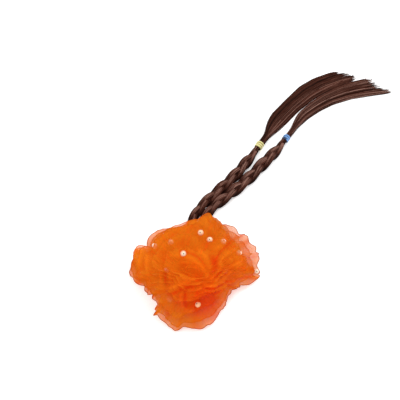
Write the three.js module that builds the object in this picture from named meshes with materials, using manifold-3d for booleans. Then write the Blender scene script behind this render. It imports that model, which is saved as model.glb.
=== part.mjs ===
// Hair clip with a ruffled organza flower, small half pearls and two braided hair pigtails.
// Millimetres, +Z up. The origin is on the underside of the clip, below the middle of the flower,
// and +Y runs along the braids. The clip, the hair and the lowest petals lie on the plane z = 0.

import * as THREE from "three";
import { mergeVertices } from "three/addons/utils/BufferGeometryUtils.js";
import Module from "manifold-3d";

const wasm = await Module();
wasm.setup();

const DEG = Math.PI / 180;

// Clearances
const GAP = 0.3;
const GROUND_GAP = 0.1;

// Clip: one bent strip, lying under the flower and pointing at the place where the braids come out
const CLIP_HEIGHT = 7.2;
const CLIP_WIDTH = 10;
const CLIP_FRONT = 13;
const CLIP_BACK = -27;
const CLIP_JAW = 1.7;
const CLIP_HEADING = 130;

// Organza layers: the wall, the step from one layer to the next and the flat centre of the lowest
const WALL = 1.0;
const LAYER_PITCH = 1.4;
const FIRST_LAYER_Z = CLIP_HEIGHT + GAP + WALL / 2;
const FLAT_RADIUS = 13.5;

// Heading of the flower's front, and how fast the front fades out round the sides
const FRONT = 335;
const FRONT_SPREAD = 1.6;

// How the ruffles grow from the flat centre to the rim, bend sideways there,
// shift from layer to layer and lie calmer on one side
const RUFFLE_START = 0.6;
const RUFFLE_POWER = 1.35;
const MEANDER = 0.45;
const DRIFT = 2.5;
const CALM = 0.5;
const CALM_HEADING = 150;

// How the lowest layers drape over the ground and over the ridge of clip and hair
const GROUND_SOFTNESS = 1.2;
const RIDGE_HALF_WIDTH = 9.8;
const RIDGE_FALL = 10;

// One row per layer, from the lowest up.
// slant: length from the axis to the rim, bend: radius of the bend round the flat centre,
// back, front: slope after the bend on the two sides of the flower, in degrees,
// cut: share by which the front is shorter, curl: change of the slope at the rim,
// wave: depth of the ruffles at the rim, lobes: how much of the outline's lobes the layer takes
const LAYERS = [
  { name: "base_lower", slant: 44, bend: 7, back: -7, front: -7, cut: 0, curl: -2, wave: 1.6, lobes: 1 },
  { name: "base_upper", slant: 43, bend: 7, back: 2, front: 0, cut: 0, curl: -3, wave: 2.6, lobes: 1 },
  { name: "cup_1", slant: 42.5, bend: 7, back: 12, front: 12, cut: 0.12, curl: -6, wave: 4.2, lobes: 0.95 },
  { name: "cup_2", slant: 42.5, bend: 7, back: 23, front: 60, cut: 0.26, curl: -12, wave: 4.6, lobes: 0.85 },
  { name: "cup_3", slant: 40.5, bend: 6.5, back: 34, front: 65, cut: 0.28, curl: -14, wave: 4.6, lobes: 0.6 },
  { name: "cup_4", slant: 38, bend: 5.5, back: 45, front: 69.5, cut: 0.28, curl: -14, wave: 4.4, lobes: 0.4 },
  { name: "cup_5", slant: 35, bend: 4.5, back: 56, front: 74, cut: 0.27, curl: -14, wave: 3.6, lobes: 0.25 },
  { name: "cup_6", slant: 31.5, bend: 3.5, back: 67, front: 78, cut: 0.24, curl: -12, wave: 2.6, lobes: 0.1 },
  { name: "cup_7", slant: 16, bend: 3.2, back: 84, front: 82, cut: 0.06, curl: -6, wave: 0.4, lobes: 0 },
];

// Lobes and notches of the flower's outline: where each lies around the axis,
// and how far the sheer lowest layer and the gathered layers over it reach there
const LOBES = [
  { around: 12, sheer: 30.0, full: 29.5 },
  { around: 26, sheer: 34.0, full: 34.0 },
  { around: 32, sheer: 40.5, full: 38.5 },
  { around: 38, sheer: 47.0, full: 41.5 },
  { around: 56, sheer: 49.0, full: 38.5 },
  { around: 76, sheer: 50.5, full: 37.0 },
  { around: 95, sheer: 49.5, full: 38.5 },
  { around: 107, sheer: 46.0, full: 42.0 },
  { around: 118, sheer: 47.5, full: 46.0 },
  { around: 127, sheer: 42.5, full: 40.5 },
  { around: 148, sheer: 38.5, full: 35.5 },
  { around: 165, sheer: 45.5, full: 37.0 },
  { around: 180, sheer: 46.5, full: 37.5 },
  { around: 194, sheer: 39.0, full: 36.5 },
  { around: 203, sheer: 48.5, full: 47.5 },
  { around: 214, sheer: 48.5, full: 47.5 },
  { around: 228, sheer: 46.0, full: 45.0 },
  { around: 236, sheer: 38.5, full: 38.5 },
  { around: 250, sheer: 37.0, full: 37.0 },
  { around: 265, sheer: 35.0, full: 35.0 },
  { around: 271, sheer: 43.0, full: 41.0 },
  { around: 283, sheer: 43.5, full: 42.0 },
  { around: 290, sheer: 45.5, full: 44.0 },
  { around: 297, sheer: 45.5, full: 44.0 },
  { around: 303, sheer: 41.5, full: 39.0 },
  { around: 316, sheer: 42.5, full: 36.0 },
  { around: 328, sheer: 41.0, full: 34.0 },
  { around: 345, sheer: 34.0, full: 31.0 },
];
const MEAN_REACH = 43;
const WIDE_STEP = 13;

// Ruffles: folds around the flower, crowded here and there by two slow swings
const FOLDS = 7;
const CROWDING = [
  { turns: 1, size: 0.4, phase: -40 },
  { turns: 2, size: 0.65, phase: 230 },
];
const SLOW_FOLDS = 3;
const SLOW_PHASE = 40;
const SLOW_SHARE = 0.45;

// Crumple of the whole flower above its base, the same for every layer, so that layers stay apart.
// The middle is pressed flat into a slit and swirled, each row pushes the cloth sideways in waves,
// and the inner layers lean forwards, by so much for each millimetre of height.
const CRUMPLE_FROM = 13;
const CRUMPLE_OVER = 22;
const SLIT_HEADING = 12;
const SLIT_RADIUS = 27;
const SLIT_PRESS = 0.5;
const SLIT_STRETCH = 0.4;
const SWIRL = 34;
const SWIRL_RADIUS = 26;
const LEAN = 0.4;
const LEAN_HEADING = 305;
const LEAN_RADIUS = 27;
const CRUMPLES = [
  { push: 105, wavesAlong: 20, wavelength: 38, size: 2.4, phase: 60 },
  { push: 20, wavesAlong: 115, wavelength: 34, size: 2.0, phase: 200 },
  { push: 70, wavesAlong: 65, wavelength: 27, size: 1.0, phase: 310 },
];

// Half pearls: size, and the layer, direction and share of the slant where each is glued
const PEARL_RADIUS = 2.2;
const PEARL_HEIGHT = 2.6;
const PEARL_SIDES = 10;
const PEARLS = [
  { layer: "cup_4", around: 108, share: 0.94 },
  { layer: "cup_4", around: 90, share: 0.92 },
  { layer: "cup_6", around: 122, share: 0.9 },
  { layer: "base_lower", around: 48, share: 0.94 },
  { layer: "cup_1", around: 318, share: 0.88 },
  { layer: "cup_4", around: 224, share: 0.56 },
  { layer: "cup_2", around: 62, share: 0.95 },
  { layer: "cup_4", around: 158, share: 0.82 },
  { layer: "cup_3", around: 190, share: 0.94 },
  { layer: "cup_3", around: 84, share: 0.86 },
  { layer: "cup_1", around: 44, share: 0.56 },
  { layer: "base_upper", around: 274, share: 0.69 },
  { layer: "base_lower", around: 279, share: 0.88 },
];

// Braids: middle line of each on the ground, from the clip to its elastic band
const BRAID_A_LINE = [
  { x: -12.2, y: 8.2 },
  { x: -24.0, y: 21.5 },
  { x: -32.5, y: 32.5 },
  { x: -35.4, y: 45.8 },
  { x: -35.1, y: 57.6 },
  { x: -34.4, y: 72.0 },
  { x: -34.3, y: 88.0 },
  { x: -35.6, y: 103.1 },
  { x: -37.2, y: 114.9 },
];
const BRAID_B_LINE = [
  { x: -5.2, y: 14.2 },
  { x: -16.2, y: 26.5 },
  { x: -25.2, y: 37.6 },
  { x: -28.2, y: 49.0 },
  { x: -27.2, y: 62.0 },
  { x: -25.4, y: 77.0 },
  { x: -24.3, y: 91.7 },
  { x: -24.6, y: 106.3 },
  { x: -24.5, y: 119.7 },
  { x: -25.9, y: 134.6 },
];
const BRAID_PERIOD = 46;
const BRAID_STEPS = 11;

// How full a braid is along its length: drawn together under the flower and at its band
const FULLNESS = [
  { along: 0, share: 0.62 },
  { along: 0.28, share: 0.74 },
  { along: 0.42, share: 0.86 },
  { along: 0.56, share: 0.97 },
  { along: 0.65, share: 1 },
  { along: 0.86, share: 1 },
  { along: 1, share: 0.64 },
];

// One row per pigtail: strand radius, sideways and upward swing of the strands, and sizes of the band
const BRAIDS = [
  {
    name: "braid_a",
    line: BRAID_A_LINE,
    strandRadius: 1.34,
    swing: 2.75,
    rise: 2.1,
    band: { name: "band_yellow", radius: 3.15, width: 5.4, wraps: 3, colour: 0xe9dc78 },
    tuft: "tuft_a",
  },
  {
    name: "braid_b",
    line: BRAID_B_LINE,
    strandRadius: 1.42,
    swing: 3.05,
    rise: 2.1,
    band: { name: "band_blue", radius: 2.85, width: 4.8, wraps: 3, colour: 0x3f86d6 },
    tuft: "tuft_b",
  },
];
const BAND_BORE = 2.2;
const BAND_SIDES = 12;
const NECK_RADIUS = 1.85;
const BRAID_END_GAP = 0.7;

// Loose hair past each band: how far along, and the left and the right edge there
const TUFT_EDGES = {
  tuft_a: [
    { y: 121.5, left: -39.8, right: -36.2 },
    { y: 128.0, left: -43.0, right: -36.7 },
    { y: 135.6, left: -46.4, right: -36.6 },
    { y: 149.0, left: -49.9, right: -36.5 },
    { y: 165.0, left: -50.3, right: -36.8 },
    { y: 184.0, left: -50.0, right: -34.6 },
    { y: 198.6, left: -46.8, right: -30.4 },
    { y: 212.4, left: -40.8, right: -24.8 },
    { y: 222.0, left: -33.5, right: -20.0 },
  ],
  tuft_b: [
    { y: 140.5, left: -28.6, right: -24.6 },
    { y: 146.0, left: -30.8, right: -25.8 },
    { y: 151.3, left: -32.2, right: -26.6 },
    { y: 165.7, left: -34.6, right: -26.0 },
    { y: 178.0, left: -33.6, right: -23.6 },
    { y: 190.0, left: -31.6, right: -19.6 },
    { y: 204.0, left: -27.3, right: -11.9 },
    { y: 216.4, left: -22.0, right: -2.3 },
    { y: 230.0, left: -13.2, right: 9.0 },
  ],
};

// How far along each lock of a tuft ends, from the left one to the right one
const LOCK_TIPS = {
  tuft_a: [214.0, 217.4, 218.4, 218.8, 218.8],
  tuft_b: [226.2, 225.8, 224.8, 227.0, 228.4],
};
const LOCK_SIDES = 6;
const LOCK_RINGS = 7;
const LOCK_HEIGHT = 1.9;
const LOCK_TIP_HEIGHT = 0.9;
const LOCK_FILL = 0.62;
const LIE_DOWN = 22;

// Materials
const material = (colour, roughness, metalness = 0) =>
  new THREE.MeshStandardMaterial({ color: colour, roughness, metalness });
const ORGANZA = material(0xf26418, 0.6);
const PEARL = material(0xfdf1da, 0.25);
const HAIR = material(0x3f2620, 0.45);
const CLIP_METAL = material(0x2a2624, 0.4, 0.6);

const clamp01 = (v) => Math.min(1, Math.max(0, v));
const smooth = (v) => clamp01(v) ** 2 * (3 - 2 * clamp01(v));

// A value that runs smoothly around the rim through the rows of a table.
function aroundTable(rows, key, degrees) {
  const count = rows.length;
  const turn = ((degrees % 360) + 360) % 360;
  let last = rows.findLastIndex((row) => row.around <= turn);
  if (last < 0) last = count - 1;
  const row = (step) => rows[(last + step + count) % count];
  const span = (row(1).around - row(0).around + 360) % 360;
  const t = ((turn - row(0).around + 360) % 360) / span;
  return THREE.MathUtils.lerp(row(0)[key], row(1)[key], smooth(t));
}

// Height of the ground that a petal drapes over: the clip and the start of the braids make a ridge.
const ridgeLine = [
  new THREE.Vector3(CLIP_BACK * Math.cos(CLIP_HEADING * DEG), CLIP_BACK * Math.sin(CLIP_HEADING * DEG), 0),
  new THREE.Vector3(CLIP_FRONT * Math.cos(CLIP_HEADING * DEG), CLIP_FRONT * Math.sin(CLIP_HEADING * DEG), 0),
  new THREE.Vector3(-28.2, 35, 0),
  new THREE.Vector3(-31, 47, 0),
  new THREE.Vector3(-31, 75, 0),
];
function ridgeHeight(x, y) {
  const here = new THREE.Vector3(x, y, 0);
  let nearest = Infinity;
  for (let i = 0; i + 1 < ridgeLine.length; i++) {
    const stretch = new THREE.Line3(ridgeLine[i], ridgeLine[i + 1]);
    const foot = stretch.closestPointToPoint(here, true, new THREE.Vector3());
    nearest = Math.min(nearest, foot.distanceTo(here));
  }
  return CLIP_HEIGHT * (1 - smooth((nearest - RIDGE_HALF_WIDTH) / RIDGE_FALL));
}

function foldPhase(theta) {
  return CROWDING.reduce((sum, c) => sum + c.size * Math.sin(c.turns * theta + c.phase * DEG), FOLDS * theta);
}

// How much a direction belongs to the front of the flower, from 0 to 1.
function facing(theta) {
  return Math.max(0, Math.cos(theta - FRONT * DEG)) ** FRONT_SPREAD;
}

// Length of a layer from the axis to its rim, in one direction.
function slantAt(layer, theta) {
  const sheer = aroundTable(LOBES, "sheer", theta / DEG);
  const full = aroundTable(LOBES, "full", theta / DEG);
  const reach = THREE.MathUtils.lerp(sheer, full, Math.min(layer.index / 2, 1));
  const lobed = layer.slant * (1 + layer.lobes * (reach / MEAN_REACH - 1));
  return lobed * (1 - layer.cut * facing(theta));
}

// Slope of a layer after its bend.
// The cups stand up at the front, over a hollow, and lean open at the back.
function riseAt(layer, theta) {
  return THREE.MathUtils.lerp(layer.back, layer.front, facing(theta)) * DEG;
}

function bendEnd(layer, theta) {
  return layer.flat + layer.bend * Math.abs(riseAt(layer, theta));
}

// Where the crumple moves a point of the flower.
function crumpled(x, y, z) {
  const amount = smooth((z - CRUMPLE_FROM) / CRUMPLE_OVER);
  const radius = Math.hypot(x, y);
  const pressed = amount * Math.exp(-((radius / SLIT_RADIUS) ** 2));
  const cos = Math.cos(SLIT_HEADING * DEG);
  const sin = Math.sin(SLIT_HEADING * DEG);
  const lengthways = (x * cos + y * sin) * (1 + SLIT_STRETCH * pressed);
  const across = (y * cos - x * sin) * (1 - SLIT_PRESS * pressed);
  const turn = amount * SWIRL * DEG * Math.exp(-((radius / SWIRL_RADIUS) ** 2)) + SLIT_HEADING * DEG;
  let px = lengthways * Math.cos(turn) - across * Math.sin(turn);
  let py = lengthways * Math.sin(turn) + across * Math.cos(turn);
  for (const row of CRUMPLES) {
    const along = x * Math.cos(row.wavesAlong * DEG) + y * Math.sin(row.wavesAlong * DEG) + 0.5 * z;
    const push = amount * row.size * Math.sin((2 * Math.PI * along) / row.wavelength + row.phase * DEG);
    px += push * Math.cos(row.push * DEG);
    py += push * Math.sin(row.push * DEG);
  }
  const lean = LEAN * Math.max(0, z - FIRST_LAYER_Z) * Math.exp(-((radius / LEAN_RADIUS) ** 2));
  return [px + lean * Math.cos(LEAN_HEADING * DEG), py + lean * Math.sin(LEAN_HEADING * DEG)];
}

// A point of a layer: flat centre, bend, sloping wall with ruffles that deepen to the rim.
// It lies on the wall's middle surface or, with a side of 1 or -1, on one of its faces.
// Faces are offset before the crumple and square to the wall without its ruffles,
// so that the two faces of a tight fold can't cross.
function petalPoint(layer, along, theta, side = 0) {
  const rise = riseAt(layer, theta);
  const slant = slantAt(layer, theta);
  const turned = THREE.MathUtils.clamp((along - layer.flat) / layer.bend, 0, Math.abs(rise));
  const past = Math.max(0, along - bendEnd(layer, theta));
  const perMm = (layer.curl * DEG) / (slant - bendEnd(layer, theta));
  const slope = turned * Math.sign(rise) + perMm * past;
  let r = Math.min(along, layer.flat) + layer.bend * Math.sin(turned);
  let z = layer.z + Math.sign(rise) * layer.bend * (1 - Math.cos(turned));
  r += past * Math.cos(rise + (perMm * past) / 2);
  z += past * Math.sin(rise + (perMm * past) / 2);
  const start = RUFFLE_START * layer.flat;
  const grown = clamp01((along - start) / (slant - start)) ** RUFFLE_POWER;
  const phase = foldPhase(theta + layer.index * DRIFT * DEG);
  const slow = Math.sin(SLOW_FOLDS * theta + SLOW_PHASE * DEG);
  const fold = (1 - SLOW_SHARE) * Math.sin(phase) * (1 + SLOW_SHARE * slow) + SLOW_SHARE * slow;
  const calm = 1 - CALM * Math.max(0, Math.cos(theta - CALM_HEADING * DEG)) ** 2;
  const depth = layer.wave * calm * grown * fold;
  const offset = (side * WALL) / 2;
  const turn = theta + (MEANDER * grown * Math.sin(2 * phase)) / (2 * FOLDS);
  r -= (depth + offset) * Math.sin(slope);
  z += depth * Math.cos(slope);
  const lift = offset * Math.cos(slope);
  const [x, y] = crumpled(r * Math.cos(turn), r * Math.sin(turn), z + lift);
  const ground = ridgeHeight(x, y) + GAP + WALL / 2 + layer.index * LAYER_PITCH;
  const over = z - ground;
  const lifted = ground + (over + Math.hypot(over, GROUND_SOFTNESS)) / 2;
  return new THREE.Vector3(x, y, Math.max(z, lifted) + lift);
}

// Upward normal of a layer's middle surface.
function petalNormal(layer, along, theta) {
  const step = 0.05;
  const outward = petalPoint(layer, along + step, theta).sub(petalPoint(layer, along - step, theta));
  const turned = step / Math.max(along, 1);
  const sideways = petalPoint(layer, along, theta + turned).sub(petalPoint(layer, along, theta - turned));
  return outward.cross(sideways).normalize();
}

// Directions of a layer's points: every lobe and notch, and the middle of each wide step between two.
const directions = LOBES.flatMap(({ around }, i) => {
  const step = (LOBES[(i + 1) % LOBES.length].around - around + 360) % 360;
  return step > WIDE_STEP ? [around, around + step / 2] : [around];
});
const AROUND = directions.length;

// A layer as one closed wall: rings on both faces, joined at the rim and closed in the middle.
function petalGeometry(layer) {
  const ringAt = (share, theta) => {
    const bend = bendEnd(layer, theta);
    const slant = slantAt(layer, theta);
    return [layer.flat, (layer.flat + bend) / 2, bend, (bend + slant) / 2, slant][share];
  };
  const rings = Math.abs(layer.back) < 10 ? [0, 2, 3, 4] : [0, 1, 2, 3, 4];
  const points = [];
  const faces = [];
  const side = (sign) => {
    const first = points.length;
    points.push(petalPoint(layer, 0, 0, sign));
    for (const ring of rings) {
      for (const direction of directions) {
        const theta = direction * DEG;
        const along = ringAt(ring, theta);
        points.push(petalPoint(layer, along, theta, sign));
      }
    }
    return first;
  };
  const face = (a, b, c, flip) => faces.push(...(flip ? [a, c, b] : [a, b, c]));
  const skin = (first, flip) => {
    for (let i = 0; i < AROUND; i++) {
      const j = (i + 1) % AROUND;
      face(first, first + 1 + i, first + 1 + j, flip);
      for (let ring = 0; ring + 1 < rings.length; ring++) {
        const inner = first + 1 + ring * AROUND;
        const outer = inner + AROUND;
        face(inner + i, outer + i, outer + j, flip);
        face(inner + i, outer + j, inner + j, flip);
      }
    }
  };
  const top = side(1);
  const bottom = side(-1);
  skin(top, false);
  skin(bottom, true);
  const rim = 1 + (rings.length - 1) * AROUND;
  for (let i = 0; i < AROUND; i++) {
    const j = (i + 1) % AROUND;
    face(top + rim + i, bottom + rim + i, bottom + rim + j, false);
    face(top + rim + i, bottom + rim + j, top + rim + j, false);
  }
  return closedGeometry(points, faces);
}

function closedGeometry(points, faces) {
  const geometry = new THREE.BufferGeometry().setFromPoints(points);
  geometry.setIndex(faces);
  geometry.computeVertexNormals();
  return geometry;
}

// A closed body through rings of points that all have the same count, with flat ends.
function loft(rings) {
  const count = rings[0].length;
  const points = rings.flat();
  const faces = [];
  for (let ring = 0; ring + 1 < rings.length; ring++) {
    for (let i = 0; i < count; i++) {
      const j = (i + 1) % count;
      const here = ring * count;
      const next = here + count;
      faces.push(here + i, here + j, next + j, here + i, next + j, next + i);
    }
  }
  const last = (rings.length - 1) * count;
  for (let i = 1; i + 1 < count; i++) {
    faces.push(0, i + 1, i);
    faces.push(last, last + i, last + i + 1);
  }
  return closedGeometry(points, faces);
}

function solidOf(geometry) {
  const bare = geometry.clone();
  bare.deleteAttribute("normal");
  bare.deleteAttribute("uv");
  const merged = mergeVertices(bare, 1e-4);
  return new wasm.Manifold(
    new wasm.Mesh({
      numProp: 3,
      vertProperties: new Float32Array(merged.attributes.position.array),
      triVerts: new Uint32Array(merged.index.array),
    }),
  );
}

function geometryOf(solid) {
  const mesh = solid.getMesh();
  const geometry = new THREE.BufferGeometry();
  geometry.setAttribute("position", new THREE.BufferAttribute(new Float32Array(mesh.vertProperties), 3));
  geometry.setIndex(Array.from(mesh.triVerts));
  geometry.computeVertexNormals();
  return geometry;
}

function middleLine(braid) {
  return new THREE.CatmullRomCurve3(braid.line.map((p) => new THREE.Vector3(p.x, p.y, 0)));
}

function fullnessAt(t) {
  const next = Math.max(1, FULLNESS.findIndex((row) => row.along >= t));
  const before = FULLNESS[next - 1];
  const after = FULLNESS[next];
  const between = (t - before.along) / (after.along - before.along);
  return THREE.MathUtils.lerp(before.share, after.share, smooth(between));
}

// One strand of a three-strand braid: it weaves in a flat figure of eight around the braid's middle line,
// over the others from an edge to the middle and under them from the middle to an edge.
function strandGeometry(braid, strand) {
  const middle = middleLine(braid);
  const turns = (2 * Math.PI * middle.getLength()) / BRAID_PERIOD;
  const steps = Math.round((BRAID_STEPS * middle.getLength()) / BRAID_PERIOD);
  const place = (t) => {
    const tangent = middle.getTangentAt(t);
    const sideways = new THREE.Vector3(tangent.y, -tangent.x, 0).normalize();
    const angle = turns * t + (strand * 2 * Math.PI) / 3;
    const full = fullnessAt(t);
    const point = middle.getPointAt(t).addScaledVector(sideways, full * braid.swing * Math.sin(angle));
    point.z = full * (braid.strandRadius + braid.rise - braid.rise * Math.sin(2 * angle)) + GROUND_GAP;
    return point;
  };
  const rings = [];
  for (let i = 0; i <= steps; i++) {
    const t = i / steps;
    const heading = place(Math.min(1, t + 0.2 / steps)).sub(place(Math.max(0, t - 0.2 / steps)));
    const radius = fullnessAt(t) * braid.strandRadius;
    rings.push(lockRing(place(t), heading, radius, radius));
  }
  return loft(rings);
}

// An elastic band wound round the end of the braid: a ring whose outside swells at each wrap.
function bandGeometry(band) {
  const profile = [new THREE.Vector2(BAND_BORE, -band.width / 2)];
  for (let wrap = 0; wrap < band.wraps; wrap++) {
    const low = -band.width / 2 + (wrap * band.width) / band.wraps;
    profile.push(new THREE.Vector2(band.radius - 0.35, low));
    profile.push(new THREE.Vector2(band.radius, low + band.width / band.wraps / 2));
  }
  profile.push(new THREE.Vector2(band.radius - 0.35, band.width / 2));
  profile.push(new THREE.Vector2(BAND_BORE, band.width / 2));
  profile.push(profile[0].clone());
  return new THREE.LatheGeometry(profile, BAND_SIDES);
}

// Where a band sits and which way it points: just past the end of its braid.
function bandPlace(braid) {
  const middle = middleLine(braid);
  const heading = middle.getTangentAt(1).setZ(0).normalize();
  const end = middle.getPointAt(1);
  end.z = braid.band.radius + GROUND_GAP;
  end.addScaledVector(heading, BRAID_END_GAP + braid.band.width / 2);
  return { centre: end, heading };
}

// A ring of a lock of hair, upright and square to its heading.
function lockRing(centre, heading, half, height) {
  const across = new THREE.Vector3(heading.y, -heading.x, 0).normalize();
  const ring = [];
  for (let i = 0; i < LOCK_SIDES; i++) {
    const angle = (2 * Math.PI * (i + 0.5)) / LOCK_SIDES;
    const point = centre.clone().addScaledVector(across, -half * Math.cos(angle));
    point.z += height * Math.sin(angle);
    ring.push(point);
  }
  return ring;
}

// The left or right edge of a tuft, so far along.
function tuftEdge(rows, key, y) {
  const next = THREE.MathUtils.clamp(rows.findIndex((row) => row.y >= y), 1, rows.length - 1);
  const before = rows[next - 1];
  const after = rows[next];
  return THREE.MathUtils.mapLinear(y, before.y, after.y, before[key], after[key]);
}

// A tuft: a neck that fills the band, and locks side by side that lie down on the ground between its edges.
function tuftGeometry(braid) {
  const { centre, heading } = bandPlace(braid);
  const half = braid.band.width / 2;
  const neckStart = centre.clone().addScaledVector(heading, -half + GAP / 2);
  const neckEnd = centre.clone().addScaledVector(heading, half + 4);
  const neck = [neckStart, neckEnd].map((p) => lockRing(p, heading, NECK_RADIUS, NECK_RADIUS));
  const edges = TUFT_EDGES[braid.tuft];
  const tips = LOCK_TIPS[braid.tuft];
  const start = centre.clone().addScaledVector(heading, half + 0.8);
  let tuft = solidOf(loft(neck));
  tips.forEach((tip, index) => {
    const place = (y) => {
      const left = tuftEdge(edges, "left", y);
      const spacing = (tuftEdge(edges, "right", y) - left) / tips.length;
      return { spacing, point: new THREE.Vector3(left + spacing * (index + 0.5), y, 0) };
    };
    const rings = [];
    for (let i = 0; i <= LOCK_RINGS; i++) {
      const t = i / LOCK_RINGS;
      const { spacing, point } = place(THREE.MathUtils.lerp(start.y, tip, t));
      const ahead = place(point.y + 1).point.sub(place(point.y - 1).point);
      const lying = smooth((point.y - start.y) / LIE_DOWN);
      const full = THREE.MathUtils.lerp(LOCK_HEIGHT, LOCK_TIP_HEIGHT, t);
      const high = THREE.MathUtils.lerp(NECK_RADIUS * 0.7, full, lying);
      point.z = THREE.MathUtils.lerp(start.z, high + GROUND_GAP, lying);
      rings.push(lockRing(point, ahead, LOCK_FILL * spacing, high));
    }
    tuft = tuft.add(solidOf(loft(rings)));
  });
  return geometryOf(tuft);
}

// The clip: a strip bent double, with its two jaws joined by a round spring end.
function clipGeometry() {
  const outer = CLIP_HEIGHT / 2;
  const inner = outer - CLIP_JAW;
  const shape = new THREE.Shape();
  shape.moveTo(CLIP_FRONT, 0);
  shape.lineTo(CLIP_FRONT, CLIP_JAW);
  shape.lineTo(CLIP_BACK + outer, CLIP_JAW);
  shape.absarc(CLIP_BACK + outer, outer, inner, 1.5 * Math.PI, 0.5 * Math.PI, true);
  shape.lineTo(CLIP_FRONT, CLIP_HEIGHT - CLIP_JAW);
  shape.lineTo(CLIP_FRONT, CLIP_HEIGHT);
  shape.lineTo(CLIP_BACK + outer, CLIP_HEIGHT);
  shape.absarc(CLIP_BACK + outer, outer, outer, 0.5 * Math.PI, 1.5 * Math.PI, false);
  shape.closePath();
  const options = { depth: CLIP_WIDTH, bevelEnabled: false, curveSegments: 5 };
  const geometry = new THREE.ExtrudeGeometry(shape, options);
  geometry.translate(0, 0, -CLIP_WIDTH / 2);
  geometry.rotateX(Math.PI / 2);
  return geometry;
}

// A half pearl with a flat back.
function pearlGeometry() {
  const profile = [new THREE.Vector2(0, 0)];
  profile.push(new THREE.Vector2(PEARL_RADIUS * 0.9, 0));
  profile.push(new THREE.Vector2(PEARL_RADIUS, PEARL_HEIGHT * 0.35));
  profile.push(new THREE.Vector2(PEARL_RADIUS * 0.68, PEARL_HEIGHT * 0.82));
  profile.push(new THREE.Vector2(0, PEARL_HEIGHT));
  return new THREE.LatheGeometry(profile, PEARL_SIDES);
}

const part = new THREE.Group();
const addMesh = (name, geometry, surface) => {
  const mesh = new THREE.Mesh(geometry, surface);
  mesh.name = name;
  part.add(mesh);
  return mesh;
};

const clip = addMesh("clip", clipGeometry(), CLIP_METAL);
clip.rotation.z = CLIP_HEADING * DEG;

const layers = LAYERS.map((row, index) => ({
  ...row,
  index,
  z: FIRST_LAYER_Z + index * LAYER_PITCH,
  flat: FLAT_RADIUS - index * LAYER_PITCH,
}));
const petals = new Map();
for (const layer of layers) {
  petals.set(layer.name, addMesh(`petal_${layer.name}`, petalGeometry(layer), ORGANZA));
}

// Each pearl is dropped onto its layer along the cloth's normal and sits flat on the facet it meets.
PEARLS.forEach((row, index) => {
  const layer = layers.find((each) => each.name === row.layer);
  const theta = row.around * DEG;
  const along = row.share * slantAt(layer, theta);
  const normal = petalNormal(layer, along, theta);
  const above = petalPoint(layer, along, theta).addScaledVector(normal, 2 * WALL);
  const [seat] = new THREE.Raycaster(above, normal.clone().negate()).intersectObject(petals.get(row.layer));
  const pearl = addMesh(`pearl_${String(index + 1).padStart(2, "0")}`, pearlGeometry(), PEARL);
  pearl.position.copy(seat.point).addScaledVector(seat.face.normal, GAP);
  pearl.quaternion.setFromUnitVectors(new THREE.Vector3(0, 1, 0), seat.face.normal);
});

for (const braid of BRAIDS) {
  for (let strand = 0; strand < 3; strand++) {
    addMesh(`${braid.name}_strand_${strand + 1}`, strandGeometry(braid, strand), HAIR);
  }
  const { centre, heading } = bandPlace(braid);
  const band = addMesh(braid.band.name, bandGeometry(braid.band), material(braid.band.colour, 0.5));
  band.position.copy(centre);
  band.quaternion.setFromUnitVectors(new THREE.Vector3(0, 1, 0), heading);
  addMesh(braid.tuft, tuftGeometry(braid), HAIR);
}

export default part;
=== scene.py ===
"""Looks of the hair clip: organza flower with half pearls, two hair braids with elastic bands and tufts.

Shapes are worked out in millimetres, in the part's frame, and scaled to metres when a mesh is made.
"""

import math

import bpy
import numpy as np
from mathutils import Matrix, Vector


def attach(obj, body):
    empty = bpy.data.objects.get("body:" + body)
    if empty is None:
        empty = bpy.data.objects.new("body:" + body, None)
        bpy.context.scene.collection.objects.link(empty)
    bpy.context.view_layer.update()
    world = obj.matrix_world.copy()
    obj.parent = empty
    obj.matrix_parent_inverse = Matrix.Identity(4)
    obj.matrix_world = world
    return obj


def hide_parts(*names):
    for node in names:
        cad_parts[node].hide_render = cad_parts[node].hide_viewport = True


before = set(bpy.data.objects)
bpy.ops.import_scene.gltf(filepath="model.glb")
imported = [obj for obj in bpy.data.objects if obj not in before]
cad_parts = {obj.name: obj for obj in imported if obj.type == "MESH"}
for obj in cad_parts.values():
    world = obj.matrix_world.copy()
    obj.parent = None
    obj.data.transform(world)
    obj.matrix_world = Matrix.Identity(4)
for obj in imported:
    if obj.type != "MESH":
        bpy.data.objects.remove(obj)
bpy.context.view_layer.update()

MM = 0.001
DEG = math.pi / 180
TURN = 2 * math.pi
BODY = "root"

# Camera and light, in metres
CAMERA_AZIMUTH = 42
CAMERA_ELEVATION = 62
CAMERA_DISTANCE = 0.8667
CAMERA_TARGET = (-0.0411, 0.0513, 0.0)
CAMERA_LENS = 100
SENSOR_WIDTH = 36
# name: place, size, power
LAMPS = {
    "key_light": ((0.1, 1.0, 0.95), 0.7, 7.5),
    "fill_light": ((-0.3, -0.8, 1.0), 1.1, 4.5),
}
LAMP_TARGET = (0, 0.06, 0)
SKY_STRENGTH = 0.9
FLOOR_HALF = 4000
FLOOR_DROP = 0.2
FLOOR_GLOW = 0.26
SHEER_LAYERS_SEEN_THROUGH = 64

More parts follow.
